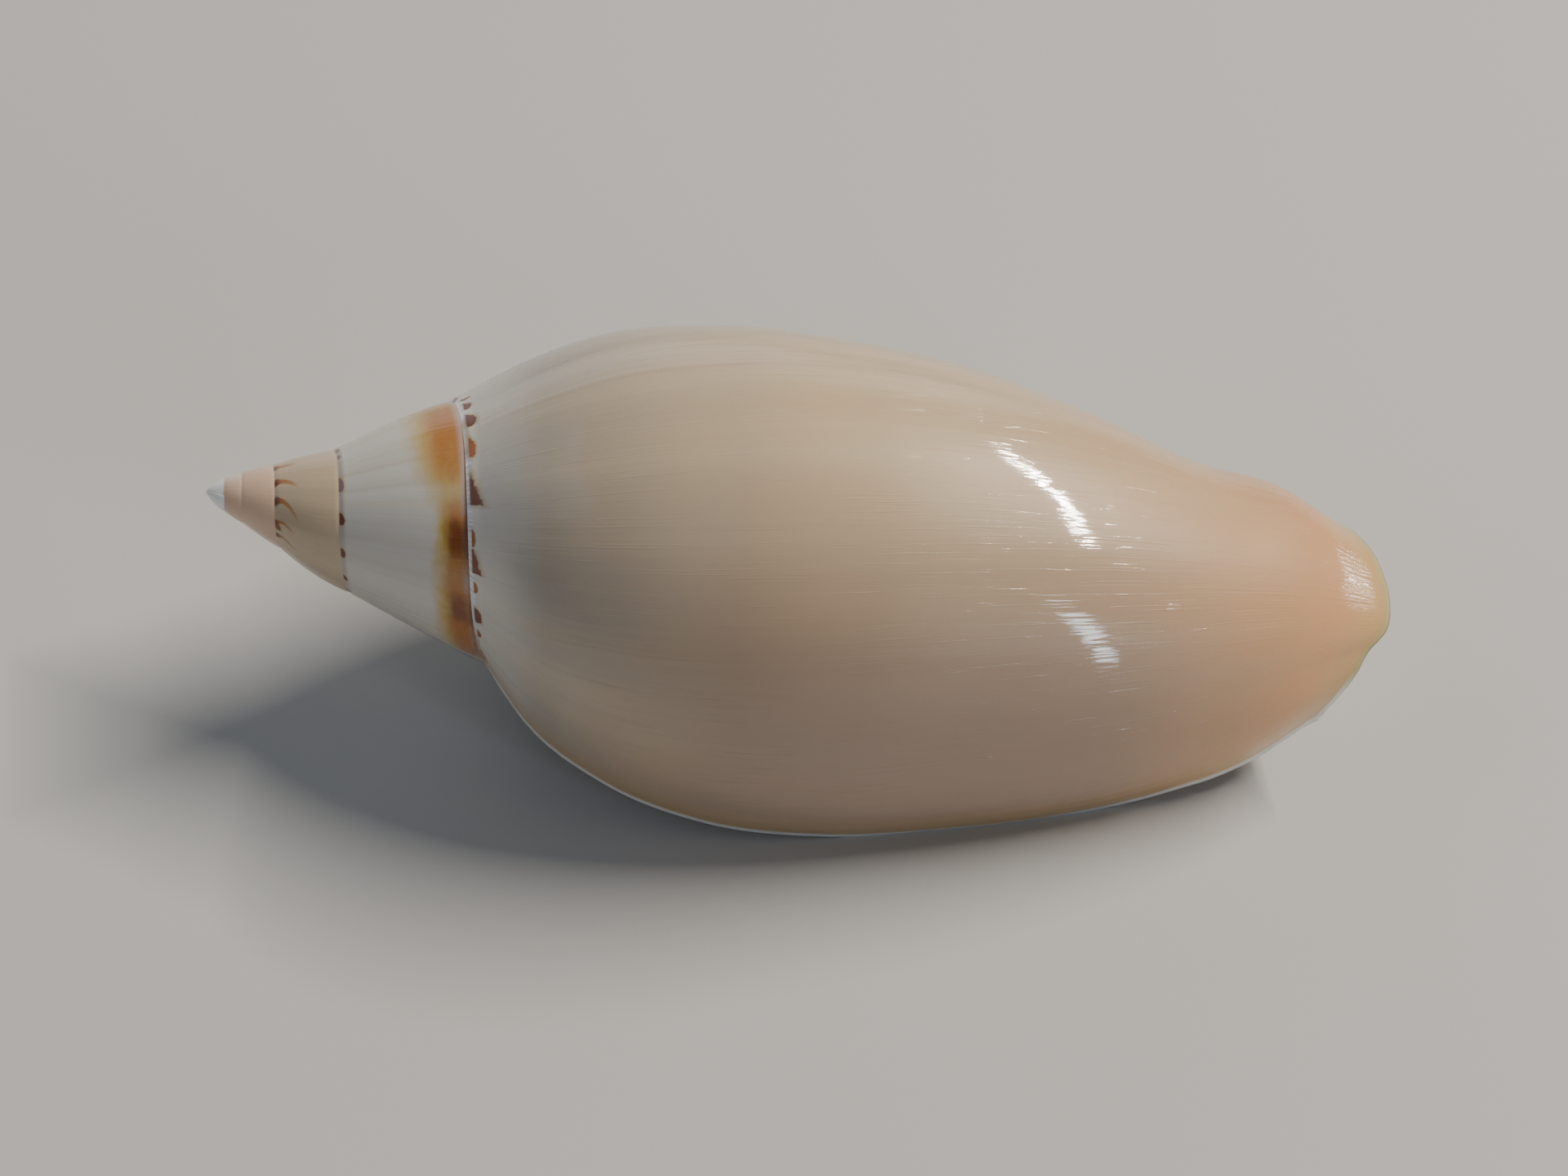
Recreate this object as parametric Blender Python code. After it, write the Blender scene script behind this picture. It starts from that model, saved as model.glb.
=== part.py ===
"""A Gray's volute seashell, lying on its aperture.

The shell is one sheet that turns round a straight axis and widens as it goes. Age along the sheet
is the growth angle in degrees: 0 at the outer lip, and one whorl is 360 degrees older per turn.
A place in the shell has three numbers: along is the distance from the tip of the spire down the
axis, out is the distance from the axis, and turn is the angle round it (0 up, 90 to the near side).
"""
import bpy
import numpy as np

MM = 0.001

# Pose on the ground: the axis slopes down towards the front, and the lip faces near and down.
AXIS_SLOPE = 8.0          # degrees
LIP_TURN = 129.0          # turn of the outer lip, degrees
FLAT_DEPTH = 0.3          # how much is worn flat where the shell touches the ground, mm

# Spire: where each whorl meets the one before it.
WHORLS = 4.25
SUTURE_AT_LIP = 20.0      # along, mm
GROWTH_PER_WHORL = 1.93
SUTURE_SWAY = 0.075
SPIRE_FLARE = 0.508       # out for each mm along
TIP_ROUND = 0.95
TIP_REACH = 4.0
LIP_PINCH = 0.078         # how much the seam closes in towards the lip
LIP_PINCH_OVER = 175.0    # degrees
BAND_BULGE = 0.016
BEND = 0.5                # how far the spire bows towards the lip, mm
BEND_AT = 8.5
BEND_REACH = 4.5

# Far edge of the sheet, which ends in the open canal: growth angle and along.
END_GROWTH = (-640.0, -540.0, -360.0, -270.0, -190.0, -159.0, -125.0, -96.0, -69.0, -52.0,
              -34.0, 0.0)
END_ALONG = (76.4, 77.0, 77.0, 77.0, 77.6, 78.5, 80.2, 81.0, 80.8, 79.8, 79.2, 77.5)

# Girth of the last whorl: out at shares of the way from the suture to the far edge.
GIRTH_SHARES = (0.0, 0.06, 0.15, 0.28, 0.42, 0.56, 0.70, 0.82, 0.92, 1.0)
GIRTH = {
    -360.0: (7.35, 9.65, 10.0, 8.2, 6.4, 5.0, 4.0, 3.2, 1.6),
    -315.0: (8.0, 11.2, 13.1, 12.5, 10.6, 8.3, 6.2, 4.4, 1.8),
    -270.0: (9.0, 12.0, 13.9, 13.8, 12.6, 10.4, 8.0, 5.8, 2.4),
    -180.0: (10.5, 13.4, 15.1, 15.1, 14.2, 12.0, 9.5, 8.6, 6.1),
    -90.0: (11.9, 15.0, 16.9, 16.9, 15.6, 13.7, 11.4, 8.9, 5.6),
    0.0: (13.3, 16.5, 18.6, 18.7, 17.5, 15.7, 13.4, 10.8, 7.4),
}
SEAM_SETTLE = 0.05        # share of the body over which it takes its own girth
BAND_SETTLE = 30.0        # degrees over which the body's start leaves the spire's shape
LIP_RETREAT = 22.0        # degrees the lip falls back at its front corner
RETREAT_FROM = 0.6        # share of the lip where it starts to fall back
RETREAT_OVER = 120.0      # degrees over which the growth lines lose this bend
BLEND = 45.0              # growth angle over which the body runs into the pillar

# Pillar inside the aperture, with its oblique folds.
PILLAR = 4.3
PILLAR_REACH = 1.15
PILLAR_FALL = 1.6
PILLAR_SETTLE = 0.04
PILLAR_TAPER_FROM = 64.0
PILLAR_END_GROWTH = (-640.0, -585.0, -550.0, -495.0, -450.0, -405.0)
PILLAR_END_OUT = (1.2, 2.7, 4.2, 2.2, 1.4, 1.3)
FOLDS = (47.0, 53.0, 58.5, 63.5)
FOLD_HEIGHT = 0.95
FOLD_WIDTH = 1.25
FOLD_DRIFT = 0.09         # mm along for each degree of growth
FOLDS_YOUNG = (-340.0, -306.0)
FOLDS_OLD = (-610.0, -550.0)
PILLAR_CAP = 0.4          # how far the pillar's end stands out, mm

# Wall of the last whorl and the hollow under it.
WALL = 1.3
LIP_EDGE = 0.7
WALL_GROWS_OVER = 50.0    # degrees
THIN_EDGE = 0.15          # share of the length that thins towards the canal
HOLLOW_DEPTH = 270.0      # degrees
CANAL_CLOSES = 190.0      # degrees

# Fineness.
COLUMNS = 36              # round one whorl
SPIRE_ROWS = 6
ROWS = 38
FIRST_ROW = 0.022         # share of the first row past the seam
FOLD_ZONE = (0.40, 0.86)  # shares between which the rows lie closer
ZONE_EDGE = 0.06
ZONE_ROWS = 2.2
SLOPE_ROWS = 0.25         # part of a row used to measure a slope
SLOPE_STEP = 2.0          # degrees used to measure a slope
TIP_RING_ALONG = 0.35     # the ring inside the tip: share kept of along and of out
TIP_RING_OUT = 0.60
TIP_CAP = 0.45            # mm
GROUND_BOX = (60.0, 40.0, 10.0)


def ease(share):
    """Smooth step from 0 to 1."""
    share = np.clip(share, 0.0, 1.0)
    return share * share * (3.0 - 2.0 * share)


def curve(at, stations, values):
    """Smooth curve through the values at the stations, read at the places asked for."""
    stations = np.asarray(stations, float)
    values = np.asarray(values, float)
    slopes = np.gradient(values, stations, axis=0)
    first = np.clip(np.searchsorted(stations, at, side="right") - 1, 0, len(stations) - 2)
    gap = stations[first + 1] - stations[first]
    share = np.clip((at - stations[first]) / gap, 0.0, 1.0)
    if values.ndim == 1:
        before, after = values[first], values[first + 1]
        rise, fall = slopes[first], slopes[first + 1]
    else:
        before, after = (np.take_along_axis(values, (first + step)[None], 0)[0] for step in (0, 1))
        rise, fall = (np.take_along_axis(slopes, (first + step)[None], 0)[0] for step in (0, 1))
    cube, square = share ** 3, share ** 2
    return ((2.0 * cube - 3.0 * square + 1.0) * before + (3.0 * square - 2.0 * cube) * after
            + gap * ((cube - 2.0 * square + share) * rise + (cube - square) * fall))


def suture(growth):
    """Along and out of the seam where the sheet of this age starts."""
    sway = np.exp(SUTURE_SWAY * np.sin(np.radians(growth / 2.0)) ** 2)
    along = SUTURE_AT_LIP * GROWTH_PER_WHORL ** (growth / 360.0) * sway
    blunt = TIP_ROUND * along * np.exp(-along / TIP_REACH)
    out = np.sqrt((SPIRE_FLARE * along) ** 2 + blunt)
    return along, out * (1.0 - LIP_PINCH * ease((growth + LIP_PINCH_OVER) / LIP_PINCH_OVER))


def band_out(growth, share):
    """Out on the nearly straight band between one seam and the next."""
    low = suture(growth)
    high = suture(growth + 360.0)
    bulge = BAND_BULGE * high[0] * 4.0 * share * (1.0 - share)
    return low[1] + (high[1] - low[1]) * share + bulge


def body_out(growth, along):
    """Out on the last whorl, from the girth table."""
    growth = np.clip(growth, -360.0, 0.0) + 0.0 * along
    start, rim = suture(growth)
    share = (along - start) / (curve(growth, END_GROWTH, END_ALONG) - start)
    keys = sorted(GIRTH)
    rings = [curve(share, GIRTH_SHARES, (suture(key)[1],) + GIRTH[key]) for key in keys]
    out = curve(growth, keys, np.stack(rings))
    seam = curve(growth, keys, [suture(key)[1] for key in keys])
    return out + (rim - seam) * np.exp(-(share / SEAM_SETTLE) ** 2)


def pillar_out(growth, along):
    """Out on the pillar that the whorls turn round, seen inside the aperture."""
    start, rim = suture(growth + 360.0)
    fall = np.exp(-(np.maximum(along - start, 0.0) / (PILLAR_REACH * start)) ** PILLAR_FALL)
    end = curve(growth, PILLAR_END_GROWTH, PILLAR_END_OUT)
    far = curve(growth, END_GROWTH, END_ALONG)
    taper = ease((along - PILLAR_TAPER_FROM) / (far - PILLAR_TAPER_FROM))
    return PILLAR + (rim - PILLAR) * fall + (end - PILLAR) * taper


def fold_out(growth, along):
    """Height of the oblique folds on the pillar."""
    young = (FOLDS_YOUNG[1] - growth) / (FOLDS_YOUNG[1] - FOLDS_YOUNG[0])
    old = (growth - FOLDS_OLD[0]) / (FOLDS_OLD[1] - FOLDS_OLD[0])
    fade = ease(young) * ease(old)
    centres = [fold + FOLD_DRIFT * (growth + 360.0) for fold in FOLDS]
    return FOLD_HEIGHT * fade * sum(np.exp(-((along - at) / FOLD_WIDTH) ** 2) for at in centres)


def inner_out(growth, share):
    """Out inside the aperture at a share of the way from the seam to the far edge."""
    def along_at(age):
        start = suture(age + 360.0)[0]
        return start + share * (curve(age, END_GROWTH, END_ALONG) - start)

    young = np.full_like(growth + share, -360.0)
    old = young - BLEND
    step = SLOPE_STEP
    from_out = body_out(young, along_at(young))
    from_slope = (body_out(young + step, along_at(young + step)) - from_out) / step
    to_out = pillar_out(old, along_at(old))
    to_slope = (to_out - pillar_out(old - step, along_at(old - step))) / step
    back = np.clip((-360.0 - growth) / BLEND, 0.0, 1.0)
    cube, square = back ** 3, back ** 2
    joined = ((2.0 * cube - 3.0 * square + 1.0) * from_out + (3.0 * square - 2.0 * cube) * to_out
              - BLEND * ((cube - 2.0 * square + back) * from_slope + (cube - square) * to_slope))
    out = np.where(back < 1.0, joined, pillar_out(growth, along_at(growth)))
    return out + (suture(growth + 360.0)[1] - out) * np.exp(-(share / PILLAR_SETTLE) ** 2)


def row_share(row):
    """Share of the way from the seam to the far edge, with close rows where the folds are."""
    fine = np.linspace(0.0, 1.0, 401)
    inside = ease((fine - FOLD_ZONE[0]) / ZONE_EDGE) * ease((FOLD_ZONE[1] - fine) / ZONE_EDGE)
    close = 1.0 + ZONE_ROWS * inside
    count = np.concatenate(([0.0], np.cumsum(0.5 * (close[1:] + close[:-1]))))
    step = (row - SPIRE_ROWS - 1.0) / (ROWS - SPIRE_ROWS - 1.0)
    after = np.interp(np.maximum(step, 0.0) * count[-1], count, fine)
    near = FIRST_ROW * np.clip(row - SPIRE_ROWS, 0.0, 1.0)
    return np.where(row <= SPIRE_ROWS + 1, near, FIRST_ROW + (1.0 - FIRST_ROW) * after)


def sheet(growth, row):
    """Along and out of the outside of the sheet, on the spire, the body and the pillar."""
    growth = growth + 0.0 * row
    row = row + 0.0 * growth
    start = suture(growth)[0]
    seam, seam_out = suture(growth + 360.0)
    end = curve(growth, END_GROWTH, END_ALONG)
    step = np.clip(row / SPIRE_ROWS, 0.0, 1.0)
    share = row_share(row)
    along = np.where(row <= SPIRE_ROWS, start + step * (seam - start), seam + share * (end - seam))
    body = body_out(growth, along)
    settle = 1.0 - ease((growth + 360.0) / BAND_SETTLE)
    near_seam = np.exp(-(share / SEAM_SETTLE) ** 2)
    gap = band_out(growth, 1.0 + 0.0 * share) - body_out(growth, seam)
    upper = np.where(growth < -360.0, band_out(growth, step),
                     body + settle * (band_out(growth, step) - body))
    lower = np.where(growth < -360.0, inner_out(growth, share), body + settle * gap * near_seam)
    out = np.where(row <= SPIRE_ROWS, upper, lower + fold_out(growth, along))
    return along, out


def wall(growth, row):
    """Thickness of the last whorl, thin at the lip and along the canal."""
    inland = ease(-growth / WALL_GROWS_OVER) * ease((1.0 - row_share(row)) / THIN_EDGE)
    return LIP_EDGE + (WALL - LIP_EDGE) * inland


def lining(growth, row):
    """Along and out of the inside of the last whorl: the outside moved in by the wall."""
    along, out = sheet(growth, row)
    ahead = sheet(growth, np.minimum(row + SLOPE_ROWS, ROWS))
    behind = sheet(growth, np.maximum(row - SLOPE_ROWS, 0.0))
    run, rise = ahead[0] - behind[0], ahead[1] - behind[1]
    length = np.hypot(run, rise)
    depth = wall(growth, row)
    return along + depth * rise / length, out - depth * run / length


def turn_of(growth, row):
    """Turn round the axis, with the lip falling back towards its front corner."""
    corner = np.maximum((row_share(row) - RETREAT_FROM) / (1.0 - RETREAT_FROM), 0.0) ** 2
    back = corner * (1.0 - ease(-growth / RETREAT_OVER))
    return LIP_TURN + growth - LIP_RETREAT * back


def place(along, out, turn):
    """Points in millimetres, before the shell is set on the ground."""
    turn = np.radians(turn)
    slope = np.radians(AXIS_SLOPE)
    bow = BEND * np.exp(-((along - BEND_AT) / BEND_REACH) ** 2)
    lip = np.radians(LIP_TURN)
    side = -out * np.sin(turn) - bow * np.sin(lip)
    up = out * np.cos(turn) + bow * np.cos(lip)
    x = along * np.cos(slope) + up * np.sin(slope)
    z = up * np.cos(slope) - along * np.sin(slope)
    return np.stack((x, side, z), axis=-1)


def shell_mesh():
    """Points and faces of the whole shell, closed, with shared points along every seam."""
    last = round(WHORLS * COLUMNS)
    deep = round(HOLLOW_DEPTH / 360.0 * COLUMNS)
    shut = round(CANAL_CLOSES / 360.0 * COLUMNS)
    seam, far = SPIRE_ROWS, ROWS
    growth = -360.0 / COLUMNS * np.arange(last + 1.0)[:, None]
    row = np.arange(far + 1.0)[None, :]
    grid = place(*sheet(growth, row), turn_of(growth, row))
    inside = place(*lining(growth[:deep + 1], row), turn_of(growth[:deep + 1], row))

    points = []

    def add(point):
        points.append(tuple(point))
        return len(points) - 1

    outer = {}
    for column in range(last, -1, -1):
        older = column + COLUMNS
        outer[column, 0] = outer[older, seam] if older <= last else add(grid[column, 0])
        for line in range(1, far + 1 if column <= COLUMNS + deep else seam + 1):
            outer[column, line] = add(grid[column, line])
    inner = {}
    for column in range(deep + 1):
        inner[column, 0] = outer[column + COLUMNS, seam + 1]
        for line in range(1, far):
            inner[column, line] = add(inside[column, line])
        if column < shut:
            inner[column, far] = add(inside[column, far])
        else:
            inner[column, far] = outer[column + COLUMNS, far]
            points[inner[column, far]] = tuple(inside[column, far])

    faces = []
    for column in range(last):
        hidden = column >= COLUMNS
        lines = far if column < COLUMNS + deep else seam
        for line in range(lines):
            if not (hidden and line == seam):
                faces.append((outer[column, line], outer[column, line + 1],
                              outer[column + 1, line + 1], outer[column + 1, line]))
    for column in range(deep):
        for line in range(far):
            faces.append((inner[column, line], inner[column + 1, line],
                          inner[column + 1, line + 1], inner[column, line + 1]))
    for line in range(far):
        faces.append((outer[0, line], inner[0, line], inner[0, line + 1], outer[0, line + 1]))
    for column in range(shut):
        faces.append((outer[column, far], inner[column, far],
                      inner[column + 1, far], outer[column + 1, far]))

    # The hollow ends in a wall across it.
    end = COLUMNS + deep
    for line in range(far):
        below = max(line, seam + 1)
        above = max(line + 1, seam + 1)
        faces.append((inner[deep, line], outer[end, below], outer[end, above], inner[deep, line + 1]))

    # The end of the pillar, where the sheet has closed round it.
    rim = [outer[column, far] for column in range(shut, COLUMNS + shut + 1)]
    close_ring(points, faces, rim, add, PILLAR_CAP)

    # The blunt tip of the spire.
    tip = [outer[column, 0] for column in range(last - COLUMNS, last + 1)]
    tip += [outer[last, line] for line in range(1, seam)]
    slope = np.radians(AXIS_SLOPE)
    axis = np.array((np.cos(slope), 0.0, -np.sin(slope)))
    ring = []
    for index in tip:
        point = np.array(points[index])
        along = point @ axis
        side = point - along * axis
        ring.append(add(TIP_RING_ALONG * along * axis + TIP_RING_OUT * side))
    for one, two, low, high in zip(tip, tip[1:] + tip[:1], ring, ring[1:] + ring[:1]):
        faces.append((one, two, high, low))
    close_ring(points, faces, ring[::-1], add, -TIP_CAP)
    faces = [tuple(dict.fromkeys(face)) for face in faces]
    return np.array(points), [face for face in faces if len(face) > 2]


def close_ring(points, faces, ring, add, swell):
    """Close a ring of points with a fan to a middle point that stands out by the swell, in mm."""
    slope = np.radians(AXIS_SLOPE)
    middle = np.mean([points[index] for index in ring], axis=0)
    middle = middle + swell * np.array((np.cos(slope), 0.0, -np.sin(slope)))
    centre = add(middle)
    for one, two in zip(ring, ring[1:] + ring[:1]):
        faces.append((centre, two, one))


def mesh_object(name, points, faces, home):
    """Object from points in metres, in the collection given."""
    mesh = bpy.data.meshes.new(name)
    mesh.from_pydata(points.tolist(), [], faces)
    mesh.update()
    mesh.validate()
    made = bpy.data.objects.new(name, mesh)
    home.objects.link(made)
    return made


def cut_flat(shell, cutters):
    """Wear the shell flat at the ground with a box below it."""
    wide, deep, tall = GROUND_BOX
    low, high = np.array((-wide, -deep, -tall)) * MM, np.array((wide, deep, 0.0)) * MM
    corners = np.array([(x, y, z) for x in (low[0], high[0]) for y in (low[1], high[1])
                        for z in (low[2], high[2])])
    sides = [(0, 1, 3, 2), (4, 6, 7, 5), (0, 4, 5, 1), (2, 3, 7, 6), (0, 2, 6, 4), (1, 5, 7, 3)]
    box = mesh_object("ground_cutter", corners, sides, cutters)
    box.hide_render = True
    box.display_type = "WIRE"
    cut = shell.modifiers.new("worn flat", "BOOLEAN")
    cut.operation = "DIFFERENCE"
    cut.solver = "EXACT"
    cut.object = box


def shell_material():
    """Cream glossy shell."""
    material = bpy.data.materials.new("volute_shell_cream")
    material.use_nodes = True
    surface = material.node_tree.nodes["Principled BSDF"]
    surface.inputs["Base Color"].default_value = (0.62, 0.47, 0.32, 1.0)
    surface.inputs["Roughness"].default_value = 0.28
    surface.inputs["Coat Weight"].default_value = 0.4
    surface.inputs["Coat Roughness"].default_value = 0.1
    return material


def main():
    """Build the shell and set it on the ground."""
    for old in list(bpy.data.objects):
        bpy.data.objects.remove(old, do_unlink=True)
    home = bpy.data.collections.new("grays_volute")
    cutters = bpy.data.collections.new("cutters")
    for collection in (home, cutters):
        bpy.context.scene.collection.children.link(collection)

    points, faces = shell_mesh()
    low, high = points.min(axis=0), points.max(axis=0)
    centre = 0.5 * (low + high)
    points = (points - np.array((centre[0], centre[1], low[2] + FLAT_DEPTH))) * MM
    shell = mesh_object("shell", points, faces, home)
    shell.data.shade_smooth()
    shell.data.materials.append(shell_material())
    cut_flat(shell, cutters)


main()
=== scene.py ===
"""Volute seashell: the finished shell, its floor, lights and camera, laid out as an add-on.

The shell is one sheet that turns round a sloping axis and widens as it goes. Its places are given
by three numbers: growth is the age in degrees of turn (0 at the lip, more negative is older),
along is the distance in mm from the tip of the spire down the axis, and out is the distance in mm
from the axis.
"""

import bpy
import numpy as np
from mathutils import Matrix, Vector


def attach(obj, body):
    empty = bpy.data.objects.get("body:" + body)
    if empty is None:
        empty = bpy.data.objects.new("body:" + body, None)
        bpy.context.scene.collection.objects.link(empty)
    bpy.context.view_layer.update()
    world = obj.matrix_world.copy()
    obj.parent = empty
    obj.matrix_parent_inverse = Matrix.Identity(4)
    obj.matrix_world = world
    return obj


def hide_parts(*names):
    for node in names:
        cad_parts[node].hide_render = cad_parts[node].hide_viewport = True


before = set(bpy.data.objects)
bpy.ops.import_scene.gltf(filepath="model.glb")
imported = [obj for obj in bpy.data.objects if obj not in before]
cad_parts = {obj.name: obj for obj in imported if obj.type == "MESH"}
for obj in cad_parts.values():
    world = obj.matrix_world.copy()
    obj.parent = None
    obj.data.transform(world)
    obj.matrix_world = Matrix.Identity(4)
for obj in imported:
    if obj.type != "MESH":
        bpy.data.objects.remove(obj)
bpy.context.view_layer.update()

bl_info = {
    "name": "Volute Seashell",
    "version": (1, 0, 0),
    "blender": (4, 5, 0),
    "location": "View3D > Sidebar > Volute",
    "description": "Builds a glossy volute seashell on its frame, with floor, lights and camera",
    "category": "Object",
}

MM = 0.001

# Pose of the shell: slope of its axis and turn of its lip in degrees, and the whorls in all.
AXIS_SLOPE = 8.0
LIP_TURN = 129.0
WHORLS = 5.25
# The seam: its place at the lip, its growth each whorl, and a sway that repeats each whorl. The
# spire's flare, the roundness of its tip and how far that reaches. How much the seam draws in
# towards the lip, and over how many degrees. The bulge of a band as a share of along.
SUTURE_AT_LIP = 20.0
GROWTH_PER_WHORL = 1.93
SUTURE_SWAY = 0.075
SPIRE_FLARE = 0.508
TIP_ROUND = 0.95
TIP_REACH = 4.0
LIP_PINCH = 0.078
PINCH_REACH = 175.0
BAND_BULGE = 0.016
# Slight bow of the spire: its size, middle and reach, all in mm.
BEND = 0.5
BEND_AT = 8.5
BEND_REACH = 4.5
# Where the last whorl ends, by growth, and the girth table: out at shares of its length.
END_GROWTH = (-640, -540, -360, -270, -190, -159, -125, -96, -69, -52, -34, 0)
END_ALONG = (76.4, 77, 77, 77, 77.6, 78.5, 80.2, 81, 80.8, 79.8, 79.2, 77.5)
GIRTH_SHARES = (0, 0.06, 0.15, 0.28, 0.42, 0.56, 0.70, 0.82, 0.92, 1)
GIRTH = {
    -360: (7.35, 9.65, 10, 8.2, 6.4, 5, 4, 3.2, 1.6),
    -315: (8, 11.2, 13.1, 12.5, 10.6, 8.3, 6.2, 4.4, 1.8),
    -270: (9, 12, 13.9, 13.8, 12.6, 10.4, 8, 5.8, 2.4),
    -180: (10.5, 13.4, 15.1, 15.1, 14.2, 12, 9.5, 8.6, 6.1),
    -90: (11.9, 15, 16.9, 16.9, 15.6, 13.7, 11.4, 8.9, 5.6),
    0: (13.3, 16.5, 18.6, 18.7, 17.5, 15.7, 13.4, 10.8, 7.4),
}
# Degrees over which the last whorl leaves the band before it, and the shares of the length over
# which the last whorl and the hidden one settle on the seam.
SETTLE_AFTER = 30.0
SEAM_SETTLE = 0.05
INNER_SETTLE = 0.04
# How far the lip's front corner lies back, and how soon the last whorl's edge runs into the
# pillar, both in degrees.
LIP_RETREAT = 22.0
BLEND = 45.0
# The pillar: its radius, the reach and power of its fall from the seam, where its taper starts,
# and its radius at the front end by growth.
PILLAR = 4.3
PILLAR_REACH = 1.15
PILLAR_FALL_POWER = 1.6
PILLAR_TAPER_FROM = 64.0
PILLAR_END_GROWTH = (-640, -585, -550, -495, -450, -405)
PILLAR_END_OUT = (1.2, 2.7, 4.2, 2.2, 1.4, 1.3)
# Folds on the pillar: where each stands along, their half width, their drift for each degree, and
# the ages at which they begin to rise, are full, begin to sink and are gone.
FOLDS = (47.0, 53.0, 58.5, 63.5)
FOLD_WIDTH = 1.25
FOLD_DRIFT = 0.09
FOLD_AGES = (-306.0, -340.0, -550.0, -610.0)
# Degrees back from the lip at which the hollow ends and at which the canal closes, and the reach
# of the outward curl in degrees behind the lip and in mm from the canal's edge.
HOLLOW_DEPTH = 270.0
CANAL_CLOSES = 190.0
LIP_CURL_OVER = 2.1
CANAL_CURL_OVER = 0.85
# Way over the surface for each mm along. How far below the seam the crest of its thread lies, and
# the half widths of the thread and the groove, in mm. Both get lower from FULL_RELIEF to the tip.
SURFACE_PER_ALONG = 1.25
THREAD_AT = 0.3
THREAD_WIDTH = 0.15
GROOVE_WIDTH = 0.16
FULL_RELIEF = 18.0
# Reach of the thinner wall behind the lip in degrees, and beside the canal as a share of length.
THIN_BEHIND_LIP = 50.0
THIN_BY_CANAL = 0.15
# Distances in mm that stand for a seam too far away to mark the surface.
FAR_BELOW = 9.0
FAR_ABOVE = 99.0
# Stretch along, in mm, over which the body's colours run from back to front.
COLOUR_FROM = 16.0
COLOUR_LENGTH = 64.0

# Fineness of the grid: columns round one whorl, how much closer they lie by the lip and over what
# share of a whorl, rows on a spire band, rows in all, steps across the rim, and rings in a cap.
COLUMNS = 216
LIP_CLOSENESS = 4.0
LIP_ZONE = 0.012
SPIRE_ROWS = 24
ROWS = 128
RIM_STEPS = 6
CAP_RINGS = 8
# Share of the length between the first two rows below a seam.
FIRST_ROW = 0.022
# Power that draws the spire's tip to a point.
TIP_POINT = 1.4
# Age given to the rounded end of the pillar, and how much of the mouth's colours it takes.
PILLAR_END_AGE = -400.0
PILLAR_END_WARMTH = 0.35

# Where the solid's own box puts the origin, in mm before the shell is set down.
ORIGIN = (40.546, -1.679, -18.047)

# Dark spots just below each seam: growth at the older and younger ends, distance of the start and
# the reach below the seam in mm, tone (-1 faded, 0 dark, 1 orange), and form from 0 oval to
# 1 wedge.
SPOTS = [
    (-167, -160, 0, 0.42, 0, 0),
    (-156.5, -153.5, 0.42, 0.70, 0.1, 0),
    (-149.5, -142.5, 0.42, 0.62, 0.05, 0.3),
    (-138, -129, 0.42, 0.80, 0.05, 0.3),
    (-122.5, -111.5, 0.40, 0.55, 0.9, 0.4),
    (-103, -90, 0.38, 0.90, 0.15, 1),
    (-80, -72.5, 0.35, 0.28, 0.8, 0.2),
    (-72.5, -60.5, 0.38, 0.72, 0.3, 1),
    (-57.5, -52.5, 0.40, 0.32, 0.7, 0.2),
    (-45.5, -37.5, 0.36, 0.62, 0.15, 0.3),
    (-33.5, -29, 0.40, 0.30, 0.6, 0.2),
    (-19.5, -9.5, 0.32, 0.55, 0.4, 0.4),
    (-520, -510, 0.05, 0.36, -0.8, 0.2),
    (-504, -497, 0.08, 0.28, -1, 0.2),
    (-475, -461, 0.02, 0.50, -0.7, 0.5),
    (-444, -434, 0.06, 0.44, -0.15, 0.3),
    (-415.5, -407.5, 0.08, 0.40, -0.05, 0.2),
    (-389.5, -383.5, 0.08, 0.34, -0.3, 0.2),
    (-370, -365, 0.08, 0.40, -0.2, 0.2),
    (-779, -766, 0.03, 0.62, 0.35, 0.8),
    (-834.5, -829.5, 0.02, 0.30, 0.2, 0.3),
    (-807, -801.5, 0.02, 0.34, 0.2, 0.3),
]
# Wavy lines down the third whorl: growth at the seam and at three distances below it in mm, how
# far the line runs in mm, and its half width in mm.
STROKES = [
    (-866.5, -865.5, -864.5, -864, 1.85, 0.160),
    (-832, -834.9, -832, -826, 1.95, 0.145),
    (-804.5, -807.2, -800.5, -788, 2.10, 0.150),
    (-774, -779.7, -775, -767, 1.60, 0.100),
    (-738, -734, -729, -724, 1.90, 0.070),
]
STROKE_DEPTHS = (0, 0.7, 1.4, 2.1)
# Coloured band before the last seam, by the growth of the whorl after it: reach back from the
# seam in mm, darkness from 0 yellow through 0.5 orange-brown to 1 dark brown, and strength.
BAND_GROWTH = (-360, -330, -300, -270, -240, -210, -185, -165, -150, -135, -118, -105,
               -96, -88, -80, -70, -62, -54, -45, -37, -29, -14, 0)
BAND_REACH = (2.7, 3, 2.6, 3.2, 2.8, 3.2, 3.1, 3.4, 3.5, 3.6,
              3.5, 3.3, 2.8, 2.3, 2.2, 2.3, 2.5, 2.6, 2.5, 2.6, 2.7, 2.8, 2.8)
BAND_DARK = (0.5, 0.8, 0.4, 0.45, 0.85, 0.4, 0.5, 0.35, 0.42, 0.5,
             0.45, 0.35, 0.2, 0.5, 0.9, 0.9, 0.6, 0.5, 0.85, 0.95, 0.65, 0.6, 0.5)
BAND_FORCE = (0.7, 0.9, 0.5, 0.8, 0.9, 0.7, 0.8, 0.75, 0.85, 0.9,
              0.85, 0.75, 0.5, 0.65, 1, 1, 0.8, 0.75, 1, 1, 0.95, 0.9, 0.8)
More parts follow.
